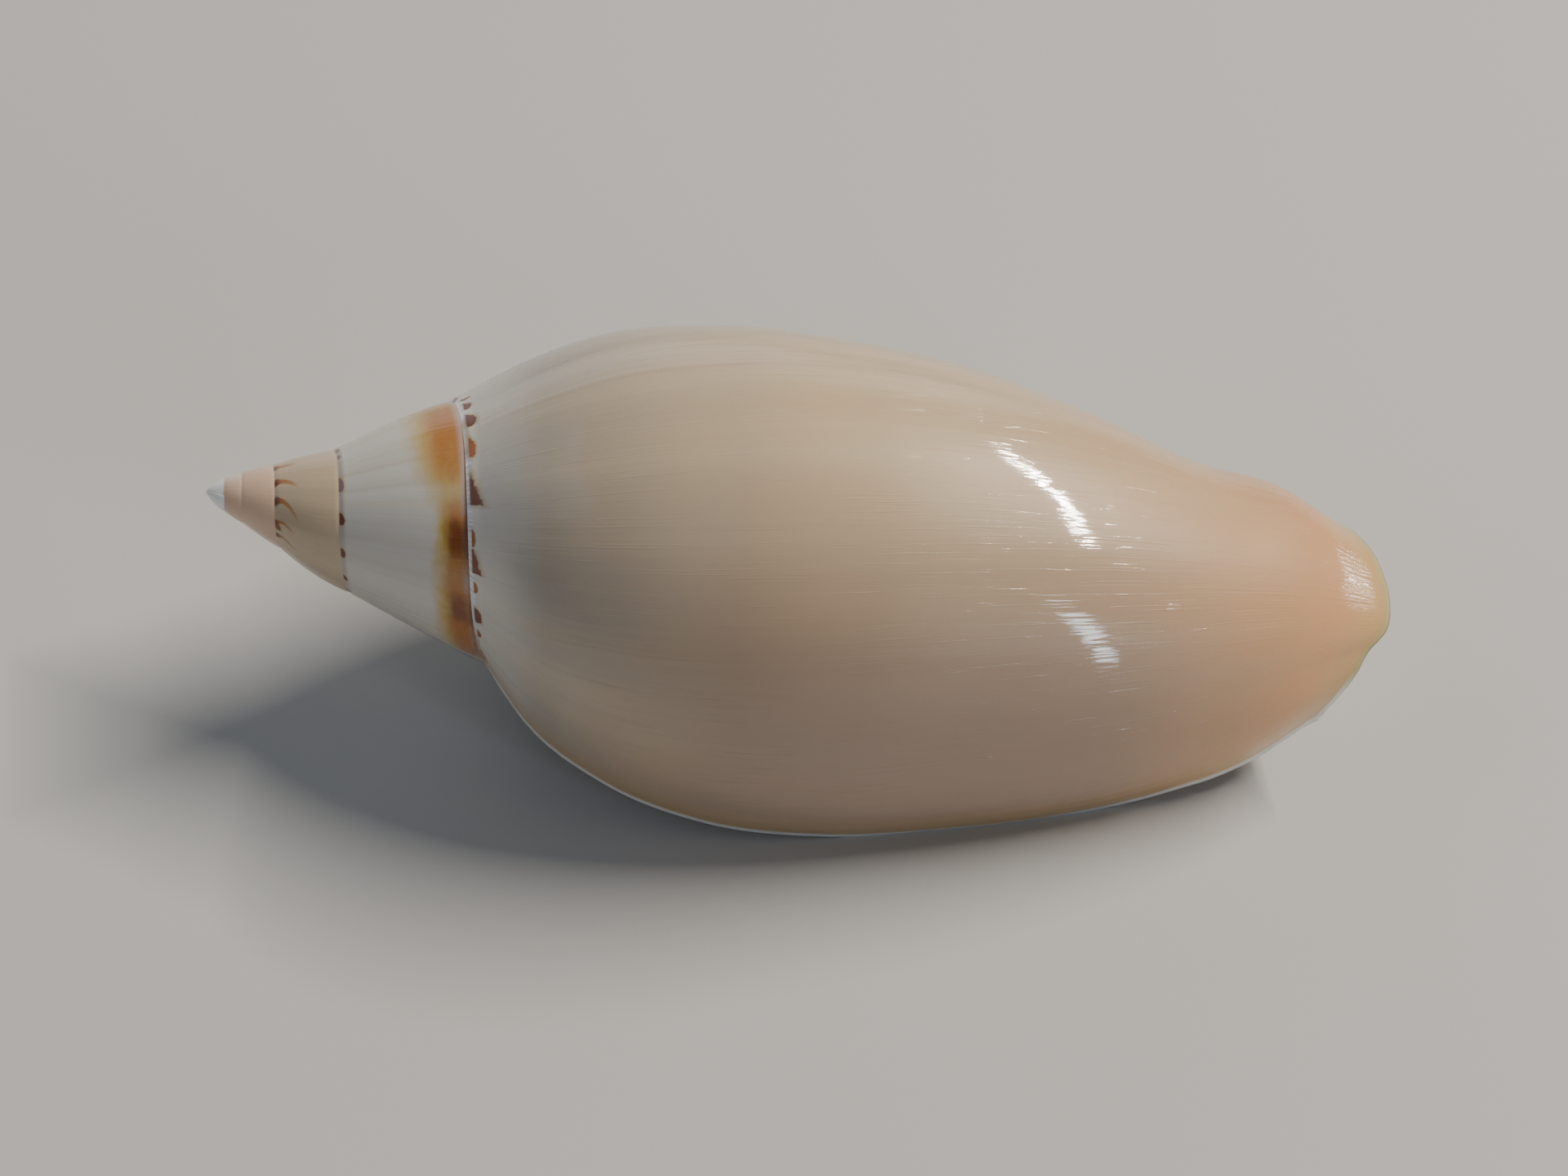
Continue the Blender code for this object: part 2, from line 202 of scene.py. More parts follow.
# Brightness of the glazed thread along the last seam, with painted glints where it catches the
# light.
GLAZE_GROWTH = (-360, -300, -240, -190, -168, -160, -140, -133, -116, -109, -95, -60,
                -40, -30, -20, 0)
GLAZE_AND_GLINTS = (0.3, 0.8, 0.5, 0.9, 0.2, 1, 1, 0.35, 0.3, 0.85, 1, 0.95, 0.75, 0.6, 0.15, 0.1)
# Marks on the hidden side: the seed, then two runs of spots with oldest and youngest growth, pace,
# reach and start below the seam, and then where each line begins.
HIDDEN_SEED = 11
HIDDEN_RUNS = ((-352, -176, 19, 0.75, 0.5), (-712, -528, 27, 0.48, 0.06))
HIDDEN_LINES = (-1055, -1015, -980, -942, -905, -755)
# How far growth lines fall back from the lip's own line over the length of the last whorl, degrees.
LINE_SLANT = 30.0
# Gloss of the shell, and how deep its relief is in metres under the glaze and on it.
GLOSS = {"Roughness": 0.38, "IOR": 1.45, "Specular IOR Level": 0.35, "Coat Weight": 0.75,
         "Coat IOR": 1.45, "Coat Roughness": 0.035, "Subsurface Weight": 0.06,
         "Subsurface Scale": 0.002}
RELIEF = {"Normal": 0.000015, "Coat Normal": 0.00006}
RELIEF_STRENGTH = 0.5
# Each light: direction from the shell, way of its long side, distance, size, and colour.
LIGHTS = {
    "key": ((0.59, 0.235, 0.765), (0.25, -0.96, 0.14), 1.0, (0.011, 0.66), (1.0, 0.93, 0.82)),
    "low": ((0.61, -0.73, 0.28), (0.02, -0.38, -0.92), 0.9, (0.034, 0.40), (0.78, 0.88, 1.0)),
    "glint": ((0.905, 0.37, 0.20), (0.36, -0.93, 0.10), 1.0, (0.014, 0.46), (1.0, 0.97, 0.92)),
    "fill": ((-0.85, 0.10, 0.50), (0.0, 0.0, 1.0), 1.1, (0.9, 0.9), (0.80, 0.90, 1.0)),
    "back": ((-0.15, 0.95, 0.30), (1.0, 0.0, 0.0), 1.2, (0.5, 1.4), (0.84, 0.92, 1.0)),
}
SKY_COLOUR = (0.80, 0.89, 1.0)
FLOOR_HALF = 1.5
FLOOR_ROUGHNESS = 0.8
SENSOR_WIDTH = 36.0
CAMERA_TARGET = (-0.00115, 0.0, 0.0111)


def ease(share):
    """Smooth step from 0 to 1: three times the square less twice the cube."""
    share = np.clip(share, 0.0, 1.0)
    return share * share * (3.0 - 2.0 * share)


def cubic(share, gap, before, after, rise, fall):
    """Cubic from before to after, with the slopes rise and fall at its ends, gap apart."""
    cube, square = share ** 3, share ** 2
    return ((2.0 * cube - 3.0 * square + 1.0) * before + (3.0 * square - 2.0 * cube) * after
            + gap * ((cube - 2.0 * square + share) * rise + (cube - square) * fall))


def curve(at, stations, values):
    """Smooth curve through values at stations: cubic pieces with slopes from the neighbours."""
    stations = np.asarray(stations, float)
    values = np.asarray(values, float)
    slopes = np.gradient(values, stations, axis=0)
    first = np.clip(np.searchsorted(stations, at, side="right") - 1, 0, len(stations) - 2)
    gap = stations[first + 1] - stations[first]
    share = np.clip((at - stations[first]) / gap, 0.0, 1.0)
    ends = [table[at_row] if table.ndim == 1 else np.take_along_axis(table, at_row[None], 0)[0]
            for table in (values, slopes) for at_row in (first, first + 1)]
    return cubic(share, gap, *ends)


def column_growth(column):
    """Growth of each column: even steps, closer just behind the lip's line on each whorl."""
    fine = np.linspace(0.0, 1.0, 20001)
    count = fine + LIP_CLOSENESS * LIP_ZONE * (1.0 - np.exp(-fine / LIP_ZONE))
    whorl, part = np.divmod(column / COLUMNS, 1.0)
    return -360.0 * (whorl + np.interp(part * count[-1], count, fine))


def suture(growth):
    """Along and out of the seam: along grows by one ratio each whorl, out follows a blunt cone."""
    sway = np.exp(SUTURE_SWAY * np.sin(np.radians(growth / 2.0)) ** 2)
    along = SUTURE_AT_LIP * GROWTH_PER_WHORL ** (growth / 360.0) * sway
    blunt = TIP_ROUND * along * np.exp(-along / TIP_REACH)
    out = np.sqrt((SPIRE_FLARE * along) ** 2 + blunt)
    return along, out * (1.0 - LIP_PINCH * ease((growth + PINCH_REACH) / PINCH_REACH))


def band_out(growth, share):
    """Out on the band between one seam and the next: a straight line with a slight even bulge."""
    low = suture(growth)
    high = suture(growth + 360.0)
    bulge = BAND_BULGE * high[0] * 4.0 * share * (1.0 - share)
    return low[1] + (high[1] - low[1]) * share + bulge


def body_out(growth, along):
    """Out on the last whorl: the girth table read smoothly down the length and round the whorl."""
    growth = np.clip(growth, -360.0, 0.0) + 0.0 * along
    start, rim = suture(growth)
    share = (along - start) / (curve(growth, END_GROWTH, END_ALONG) - start)
    keys = sorted(GIRTH)
    rings = [curve(share, GIRTH_SHARES, (suture(key)[1],) + GIRTH[key]) for key in keys]
    out = curve(growth, keys, np.stack(rings))
    seam = curve(growth, keys, [suture(key)[1] for key in keys])
    return out + (rim - seam) * np.exp(-(share / SEAM_SETTLE) ** 2)


def pillar_out(growth, along):
    """Out on the pillar: it falls from the seam like a bell curve, then tapers at the front."""
    start, rim = suture(growth + 360.0)
    fall = np.exp(-(np.maximum(along - start, 0.0) / (PILLAR_REACH * start)) ** PILLAR_FALL_POWER)
    end = curve(growth, PILLAR_END_GROWTH, PILLAR_END_OUT)
    far = curve(growth, END_GROWTH, END_ALONG)
    taper = ease((along - PILLAR_TAPER_FROM) / (far - PILLAR_TAPER_FROM))
    return PILLAR + (rim - PILLAR) * fall + (end - PILLAR) * taper


def inner_out(growth, share):
    """Out inside the mouth: the last whorl's edge runs into the pillar on a cubic in the growth."""
    def place_at(age):
        start = suture(age + 360.0)[0]
        return start + share * (curve(age, END_GROWTH, END_ALONG) - start)

    young = np.full_like(growth + share, -360.0)
    old = young - BLEND
    step = 2.0
    from_out = body_out(young, place_at(young))
    from_slope = (body_out(young + step, place_at(young + step)) - from_out) / step
    to_out = pillar_out(old, place_at(old))
    to_slope = (to_out - pillar_out(old - step, place_at(old - step))) / step
    back = np.clip((-360.0 - growth) / BLEND, 0.0, 1.0)
    joined = cubic(back, -BLEND, from_out, to_out, from_slope, to_slope)
    out = np.where(back < 1.0, joined, pillar_out(growth, place_at(growth)))
    return out + (suture(growth + 360.0)[1] - out) * np.exp(-(share / INNER_SETTLE) ** 2)


def row_share(row):
    """Share of the way from seam to far edge, with rows close by the seam and at the folds."""
    fine = np.linspace(0.0, 1.0, 801)
    close = 1.0 + 1.2 * ease((fine - 0.40) / 0.06) * ease((0.86 - fine) / 0.06)
    close = close + 2.5 * np.exp(-(fine / 0.05) ** 2) + 1.5 * np.exp(-((1.0 - fine) / 0.03) ** 2)
    count = np.concatenate(([0.0], np.cumsum(0.5 * (close[1:] + close[:-1]))))
    step = (row - SPIRE_ROWS - 1.0) / (ROWS - SPIRE_ROWS - 1.0)
    after = np.interp(np.maximum(step, 0.0) * count[-1], count, fine)
    near = FIRST_ROW * np.clip(row - SPIRE_ROWS, 0.0, 1.0)
    return np.where(row <= SPIRE_ROWS + 1, near, FIRST_ROW + (1.0 - FIRST_ROW) * after)


def band_share(row):
    """Share of the way from one seam to the next, with rows close by both seams."""
    step = np.clip(row / SPIRE_ROWS, 0.0, 1.0)
    return 0.25 * step + 0.75 * 0.5 * (1.0 - np.cos(np.pi * step))


def sheet(growth, row, shape):
    """Along, out and way to the seams: band, body or pillar law, with folds and seam relief."""
    growth = growth + 0.0 * row
    row = row + 0.0 * growth
    start = suture(growth)[0]
    seam = suture(growth + 360.0)[0]
    end = curve(growth, END_GROWTH, END_ALONG)
    step = band_share(row)
    share = row_share(row)
    on_band = row <= SPIRE_ROWS
    along = np.where(on_band, start + step * (seam - start), seam + share * (end - seam))
    body = body_out(growth, along)
    settle = 1.0 - ease((growth + 360.0) / SETTLE_AFTER)
    gap = band_out(growth, 1.0 + 0.0 * share) - body_out(growth, seam)
    upper = np.where(growth < -360.0, band_out(growth, step),
                     body + settle * (band_out(growth, step) - body))
    lower = np.where(growth < -360.0, inner_out(growth, share),
                     body + settle * gap * np.exp(-(share / SEAM_SETTLE) ** 2))
    rise, full, sink, gone = FOLD_AGES
    fade = ease((rise - growth) / (rise - full)) * ease((growth - gone) / (sink - gone))
    centres = [fold + FOLD_DRIFT * (growth + 360.0) for fold in FOLDS]
    humps = sum(np.exp(-((along - at) / FOLD_WIDTH) ** 2) for at in centres)
    folds = shape.fold_height * fade * humps
    out = np.where(on_band, upper, lower + folds)

    below = SURFACE_PER_ALONG * (along - start)
    above = np.where(growth < -359.0, SURFACE_PER_ALONG * (seam - along), FAR_ABOVE)
    last_seam = ease((growth + 375.0) / 30.0)
    crest = np.exp(-((below - THREAD_AT) / THREAD_WIDTH) ** 2)
    thread = shape.seam_thread * (0.25 + 0.75 * last_seam) * crest
    hollow = np.exp(-(below / GROOVE_WIDTH) ** 2) + np.exp(-(above / GROOVE_WIDTH) ** 2)
    groove = -shape.seam_groove * hollow
    small = np.clip(along / FULL_RELIEF, 0.1, 1.0)
    hidden = (growth < -360.0) & ~on_band
    open_end = ease((growth + CANAL_CLOSES + 25.0) / 40.0) * ~on_band
    curl = (shape.lip_curl * np.exp(growth / LIP_CURL_OVER) * ease(below / 1.5)
            + shape.canal_curl * np.exp((along - end) / CANAL_CURL_OVER) * open_end)
    out = out + np.where(hidden, 0.0, small * (thread + groove) + curl)
    return along, out, below, above


def wall(growth, row, shape):
    """Thickness of the last whorl in mm: thin at the lip and along the canal, full further in."""
    inland = ease(-growth / THIN_BEHIND_LIP) * ease((1.0 - row_share(row)) / THIN_BY_CANAL)
    return shape.lip_edge + (shape.wall - shape.lip_edge) * inland


def lining(growth, row, shape):
    """Along and out of the inside: the outside moved in by the wall, square to its outline."""
    along, out = sheet(growth, row, shape)[:2]
    ahead = sheet(growth, np.minimum(row + 0.25, ROWS), shape)
    behind = sheet(growth, np.maximum(row - 0.25, 0.0), shape)
    run, rise = ahead[0] - behind[0], ahead[1] - behind[1]
    length = np.hypot(run, rise)
    depth = wall(growth, row, shape)
    return along + depth * rise / length, out - depth * run / length


def turn_of(growth, row, shape):
    """Turn round the axis: the growth, with the lip's front corner set back and its edge nicked."""
    share = row_share(row)
    back = np.maximum((share - 0.6) / 0.4, 0.0) ** 2 * (1.0 - ease(-growth / 120.0))
    wave = (np.sin(share * 71.0) + 0.7 * np.sin(share * 133.0 + 1.0)
            + 0.5 * np.sin(share * 211.0 + 2.0))
    at_lip = np.maximum(1.0 + growth / 4.0, 0.0)
    nicks = shape.lip_nicks * wave * ease((share - 0.55) / 0.25) * at_lip
    return LIP_TURN + growth - LIP_RETREAT * back + nicks


def place(along, out, turn):
    """Points in mm from along, out and turn, with the axis sloped and the spire slightly bowed."""
    turn = np.radians(turn)
    slope = np.radians(AXIS_SLOPE)
    bow = BEND * np.exp(-((along - BEND_AT) / BEND_REACH) ** 2)
    lip = np.radians(LIP_TURN)
    side = -out * np.sin(turn) - bow * np.sin(lip)
    up = out * np.cos(turn) + bow * np.cos(lip)
    x = along * np.cos(slope) + up * np.sin(slope)
    z = up * np.cos(slope) - along * np.sin(slope)
    return np.stack((x, side, z), axis=-1)


def quads(ids):
    """Four-cornered faces of a grid of point numbers, facing out of the sheet."""
    return np.stack((ids[:-1, :-1], ids[:-1, 1:], ids[1:, 1:], ids[1:, :-1]), -1).reshape(-1, 4)


def hidden_marks():
    """Spots and lines for the side away from the photograph, spaced like the seen ones."""
    luck = np.random.default_rng(HIDDEN_SEED)
    spots, strokes = [], []
    for first, last, gap, size, start in HIDDEN_RUNS:
        at = first
        while at < last:
            width = gap * luck.uniform(0.35, 0.75)
            spots.append((at, at + width, start, size * luck.uniform(0.7, 1.25),
                          luck.uniform(0.0, 0.7), luck.uniform(0.1, 1.0)))
            at += gap * luck.uniform(0.8, 1.3)
    for base in HIDDEN_LINES:
        lean = luck.uniform(4.0, 12.0)
        base = base + luck.uniform(-4.0, 4.0)
        strokes.append((base, base - 2.5, base + 0.3 * lean, base + lean,
                        luck.uniform(1.4, 2.1), 0.08))
        spots.append((base - 3.0, base + 3.0, 0.02, 0.34, 0.1, 0.3))
    return spots, strokes


def nearest(values, table):
    """Row of the table whose middle is nearest to each value."""
    order = np.argsort(table)
    table = table[order]
    cuts = 0.5 * (table[1:] + table[:-1])
    return order[np.searchsorted(cuts, values)]


def corner_marks(growth, below, out, face_growth):
    """Values at each face's corners: glaze with painted glints, band, and place in the spot and
    line nearest to it.
    """
    spots, strokes = hidden_marks()
    spots = np.array(SPOTS + spots)
    strokes = np.array(STROKES + strokes)
    spot = spots[nearest(face_growth, 0.5 * (spots[:, 0] + spots[:, 1]))]
    spot_u = (growth - spot[:, 0]) / (spot[:, 1] - spot[:, 0])
    spot_v = (below - spot[:, 2]) / spot[:, 3]
    stroke = strokes[nearest(face_growth, strokes[:, :4].mean(axis=1))]
    fit = np.linalg.inv(np.vander(STROKE_DEPTHS, increasing=True))
    terms = stroke[:, :4] @ fit.T
    middle = terms[:, 0] + below * (terms[:, 1] + below * (terms[:, 2] + below * terms[:, 3]))
    aside = np.radians(growth - middle) * out / stroke[:, 5]
    age = growth + 360.0
    return {"glaze": curve(growth, GLAZE_GROWTH, GLAZE_AND_GLINTS),
            "band_reach": curve(age, BAND_GROWTH, BAND_REACH),
            "band_dark": curve(age, BAND_GROWTH, BAND_DARK),
            "band_force": curve(age, BAND_GROWTH, BAND_FORCE),
            "spot_u": np.clip(spot_u, -5.0, 6.0), "spot_v": np.clip(spot_v, -5.0, 6.0),
            "spot_tone": spot[:, 4], "spot_form": spot[:, 5],
            "line_side": np.clip(aside, -20.0, 20.0), "line_run": below / stroke[:, 4]}


class Marks:
    """Values carried by every face corner, which the shell's material reads."""

    USUAL = {"growth": 0.0, "below": FAR_BELOW, "above": FAR_ABOVE, "edge": 0.0, "inside": 0.0,
             "share": 0.0, "out": 0.0}

    def __init__(self):
        self.parts = {name: [] for name in self.USUAL}

    def add(self, size, **values):
        """Adds one block of points with these values, and the usual ones for the rest."""
        for name, usual in self.USUAL.items():
            value = np.asarray(values.get(name, usual), float)
            self.parts[name].append(np.broadcast_to(value, size).ravel())

    def all(self):
        """Every value of every point added, by name."""
        return {name: np.concatenate(parts) for name, parts in self.parts.items()}


def shell_surface(shape):
    """Points, faces, glue and marks of the shell, from grids of the sheet and its lining."""
    last = round(WHORLS * COLUMNS)
    deep = round(HOLLOW_DEPTH / 360.0 * COLUMNS)
    shut = round(CANAL_CLOSES / 360.0 * COLUMNS)
    seam, far = SPIRE_ROWS, ROWS
    growth = column_growth(np.arange(last + 1.0))[:, None] + np.zeros((1, far + 1))
    row = np.arange(far + 1.0)[None, :] + np.zeros((last + 1, 1))
    along, out, below, above = sheet(growth, row, shape)
    outside = place(along, out, turn_of(growth, row, shape))
    lined = lining(growth[:deep + 1], row[:deep + 1], shape)
    inside = place(*lined, turn_of(growth[:deep + 1], row[:deep + 1], shape))

    to_end = curve(growth, END_GROWTH, END_ALONG) - along
    to_lip = -np.radians(growth) * out
    edge = np.where(growth > -CANAL_CLOSES, np.minimum(to_lip, to_end), to_lip)
    hidden = (growth < -360.0) & (row > seam)
    marks = Marks()
    share = np.clip((along - COLOUR_FROM) / COLOUR_LENGTH, 0.0, 1.0)
    marks.add(growth.shape, growth=growth, below=below, above=above, edge=edge,
              inside=np.where(hidden, 1.0, 0.0), share=share, out=out)
    marks.add(lined[0].shape, growth=growth[:deep + 1], edge=edge[:deep + 1], inside=1.0,
              share=share[:deep + 1], out=lined[1])

    points = [outside.reshape(-1, 3), inside.reshape(-1, 3)]
    outer = np.arange(growth.size).reshape(growth.shape)
    inner = growth.size + np.arange(lined[0].size).reshape(lined[0].shape)
    count = growth.size + lined[0].size
    glue = [(outer[:last + 1 - COLUMNS, 0], outer[COLUMNS:, seam]),
            (inner[:, 0], outer[COLUMNS:COLUMNS + deep + 1, seam + 1]),
            (outer[COLUMNS + shut:COLUMNS + deep + 1, far], inner[shut:, far])]

    end = COLUMNS + deep
    body = quads(outer[:COLUMNS + 1])
    band = quads(outer[COLUMNS:, :seam + 1])
    pillar = quads(outer[COLUMNS:end + 1, seam + 1:])
    vault = quads(inner)[:, ::-1]
    faces = [body, band, pillar, vault]

    # The rim: half circles from the outside to the inside, along the lip and then the canal.
    pairs = np.concatenate((np.stack((outer[0, :], inner[0, :]), -1),
                            np.stack((outer[1:shut + 1, far], inner[1:shut + 1, far]), -1)))
    flat = np.concatenate(points)
    high, low = flat[pairs[:, 0]], flat[pairs[:, 1]]
    low[0] = flat[outer[COLUMNS, seam + 1]]
    travel = np.gradient(0.5 * (high + low), axis=0)
    across = high - low
    ahead = np.cross(across, travel)
    ahead /= np.linalg.norm(ahead, axis=1, keepdims=True)
    middle, half = 0.5 * (high + low), 0.5 * across
    size = np.linalg.norm(half, axis=1, keepdims=True)
    swing = np.pi * np.arange(1, RIM_STEPS) / RIM_STEPS
    arcs = (middle[1:-1, None] + half[1:-1, None] * np.cos(swing)[None, :, None]
            + (ahead * size)[1:-1, None] * np.sin(swing)[None, :, None])
    arc_ids = count + np.arange(arcs.shape[0] * arcs.shape[1]).reshape(arcs.shape[:2])
    count += arc_ids.size
    points.append(arcs.reshape(-1, 3))
    starts = pairs[1:-1, :1]
    marks.add(arcs.shape[:2], growth=growth.ravel()[starts], share=share.ravel()[starts],
              inside=np.linspace(0.0, 1.0, RIM_STEPS + 1)[None, 1:-1])
    rim = np.concatenate((starts, arc_ids, pairs[1:-1, 1:]), axis=1)
    faces.append(quads(rim))
    ends = [[pairs[0, 1], *rim[0][::-1], pairs[0, 0]], [pairs[-1, 0], *rim[-1], pairs[-1, 1]]]

    # The wall at the end of the hollow.
    below_ids = np.maximum(np.arange(far), seam + 1)
    above_ids = np.maximum(np.arange(1, far + 1), seam + 1)
    ladder = np.stack((inner[deep, :-1], outer[end, below_ids],
                       outer[end, above_ids], inner[deep, 1:]), -1)

    # The rounded end of the pillar and the pointed tip of the spire.
    ring = outer[shut:COLUMNS + shut + 1, far]
    flat = np.concatenate(points)
    flat[outer[COLUMNS + shut:COLUMNS + deep + 1, far]] = flat[inner[shut:, far]]
    end_rings, end_faces, closed, count = cap(dome(flat[ring], shape.pillar_dome), ring, count)
    points.append(end_rings)
    glue.append(closed)
    marks.add((len(end_rings),), growth=PILLAR_END_AGE, edge=3.0, inside=PILLAR_END_WARMTH,
              share=1.0)
    faces.append(end_faces[:, ::-1])

    tip = np.concatenate((outer[last - COLUMNS:last + 1, 0], outer[last, 1:seam]))
    tip_rings, tip_faces, closed, _ = cap(nose(flat[tip]), tip, count)
    points.append(tip_rings)
    glue.append(closed)
    fade = np.repeat(np.linspace(0.0, 1.0, CAP_RINGS + 1)[1:], len(tip))
    marks.add((len(tip_rings),), growth=growth[last, 0] - 360.0 * fade, edge=FAR_ABOVE, out=1.0)
    faces.append(tip_faces)

    points = np.concatenate(points)
    corners = [face for block in faces for face in block.tolist()] + ends + ladder.tolist()
    alias = np.arange(len(points))
    for taken, kept in glue:
        alias[taken] = kept
    while np.any(alias[alias] != alias):
        alias = alias[alias]
    return points, corners, alias, marks.all()


def axis_way():
    """Unit vector down the sloping axis, from the tip to the front."""
    slope = np.radians(AXIS_SLOPE)
    return np.array((np.cos(slope), 0.0, -np.sin(slope)))


def cap(rings, ring, count):
    """Rings as points, their faces from a ring of point numbers, their glue, and the new count."""
    ids = count + np.arange(rings[:, :, 0].size).reshape(rings.shape[:2])
    grid = np.concatenate((ring[None, :], ids))
    grid = np.concatenate((grid, grid[:, :1]), axis=1)
    return rings.reshape(-1, 3), quads(grid), (ids[-1, 1:], ids[-1, 0]), count + ids.size


def dome(loop, height):
    """Rings that close a loop of points: each shrinks as a cosine and stands out as a sine."""
    centre = loop.mean(axis=0)
    angle = 0.5 * np.pi * np.arange(1, CAP_RINGS + 1) / CAP_RINGS
    shrink = np.cos(angle)[:, None, None]
    swell = np.sin(angle)[:, None, None]
    return centre + (loop - centre)[None] * shrink + axis_way() * height * swell


def nose(loop):
    """Rings that close the spire's tip: along falls with a power of the share left of out."""
    axis = axis_way()
    start = place(np.zeros(1), np.zeros(1), np.zeros(1))[0]
    along = (loop - start) @ axis
    side = loop - start - along[:, None] * axis
    left = 1.0 - np.arange(1, CAP_RINGS + 1) / CAP_RINGS
    return (start + axis * (along[None] * left[:, None] ** TIP_POINT)[..., None]
            + side[None] * left[:, None, None])


def stand_on_ground(points):
    """Points in metres, moved to the frame's origin, with what lies below the ground worn flat."""
    moved = points - np.array(ORIGIN)
    moved[:, 2] = np.maximum(moved[:, 2], 0.0)
    return moved * MM


def new_object(name, data):
    """An object that shows this data, added to the scene."""
    made = bpy.data.objects.new(name, data)
    bpy.context.scene.collection.objects.link(made)
    return made


def shell_object(shape):
    """Mesh object of the shell: glued points are merged, and marks go on the face corners."""
    points, corners, alias, marks = shell_surface(shape)
    lengths = [len(face) for face in corners]
    flat = np.concatenate([np.asarray(face) for face in corners])
    merged = alias[flat]
    starts = np.cumsum(lengths) - lengths
    nexts = np.arange(len(flat)) + 1
    nexts[starts[1:] - 1] = starts[:-1]
    nexts[-1] = starts[-1]
    keep = merged != merged[nexts]
    face_of = np.repeat(np.arange(len(lengths)), lengths)
    sizes = np.bincount(face_of[keep], minlength=len(lengths))
    keep &= (sizes > 2)[face_of]
    merged, source, face_of = merged[keep], flat[keep], face_of[keep]
    sizes = np.bincount(face_of, minlength=len(lengths))
    sizes = sizes[sizes > 0]
    used, index = np.unique(merged, return_inverse=True)
    placed = stand_on_ground(points[used])

    mesh = bpy.data.meshes.new("volute_shell")
    mesh.vertices.add(len(placed))
    mesh.vertices.foreach_set("co", placed.astype(np.float32).ravel())
    mesh.loops.add(len(index))
    mesh.loops.foreach_set("vertex_index", index.astype(np.int32))
    mesh.polygons.add(len(sizes))
    mesh.polygons.foreach_set("loop_start", (np.cumsum(sizes) - sizes).astype(np.int32))
    mesh.update(calc_edges=True)
    values = {name: mark[source] for name, mark in marks.items()}
    owner = np.repeat(np.arange(len(sizes)), sizes)
    middle = np.bincount(owner, values["growth"]) / sizes
    out = values.pop("out")
    values.update(corner_marks(values["growth"], values["below"], out, middle[owner]))
    for name, value in values.items():
        layer = mesh.attributes.new(name, "FLOAT", "CORNER")
        layer.data.foreach_set("value", value.astype(np.float32))
    mesh.shade_smooth()
    if mesh.validate(verbose=True):
        raise RuntimeError("the shell's mesh has faults")
    return new_object("volute_shell", mesh)


class Nodes:
    """Small helper that adds shader nodes to one material and links them."""

    def __init__(self, tree):
        self.tree = tree
        self.column = 0

    def add(self, kind, **settings):
        """Adds a node and sets its properties."""
        node = self.tree.nodes.new(kind)
        self.column += 1
        node.location = (-2600 + 180 * (self.column % 14), 600 - 220 * (self.column // 14))
        for name, value in settings.items():
            setattr(node, name, value)
        return node

    def put(self, socket, value):
        """Sets a socket to a number or colour, or links it."""
        if isinstance(value, bpy.types.NodeSocket):
            self.tree.links.new(value, socket)
        else:
            socket.default_value = value

    def mark(self, name):
        """One of the values carried by the face corners."""
        return self.add("ShaderNodeAttribute", attribute_name=name).outputs["Fac"]

    def math(self, operation, first, second=0.0, third=0.0):
        """A math node."""
        node = self.add("ShaderNodeMath", operation=operation)
        for socket, value in zip(node.inputs, (first, second, third)):
            self.put(socket, value)
        return node.outputs[0]

    def times(self, first, second):
        """One number times another."""
        return self.math("MULTIPLY", first, second)

    def step(self, value, low, high, to_low=0.0, to_high=1.0):
        """Smooth step of a value between two limits."""
        node = self.add("ShaderNodeMapRange", interpolation_type="SMOOTHSTEP")
        for socket, given in zip(node.inputs, (value, low, high, to_low, to_high)):
            self.put(socket, given)
        return node.outputs[0]

    def mix(self, amount, first, second):
        """Mixes two colours, each a socket or one of the tints."""
        node = self.add("ShaderNodeMix", data_type="RGBA")
        self.put(node.inputs["Factor"], amount)
        for socket, value in zip(node.inputs[6:8], (first, second)):
            self.put(socket, value if isinstance(value, bpy.types.NodeSocket) else colour(value))
        return node.outputs[2]

    def over(self, body, tint_of, *amounts):
        """Lays a colour over the body by the product of the amounts."""
        amount = amounts[0]
        for more in amounts[1:]:
            amount = self.times(amount, more)
        return self.mix(amount, body, tint_of)

    def stir(self, value, noise, gain):
        """Moves a value up and down by a noise."""
        return self.math("MULTIPLY_ADD", self.math("SUBTRACT", noise, 0.5), gain, value)

    def vector(self, x, y=0.0, z=0.0):
        """Joins three numbers in a vector."""
        node = self.add("ShaderNodeCombineXYZ")
        for socket, value in zip(node.inputs, (x, y, z)):
            self.put(socket, value)
        return node.outputs[0]

    def noise(self, vector, scale, detail=2.0, rough=0.5):
        """Noise from 0 to 1 at a vector."""
        node = self.add("ShaderNodeTexNoise")
        for name, given in (("Vector", vector), ("Scale", scale), ("Detail", detail),
                            ("Roughness", rough)):
            self.put(node.inputs[name], given)
        return node.outputs["Fac"]


def colour(value):
    """Colour with full alpha, as sockets want it."""
    return (*value[:3], 1.0)


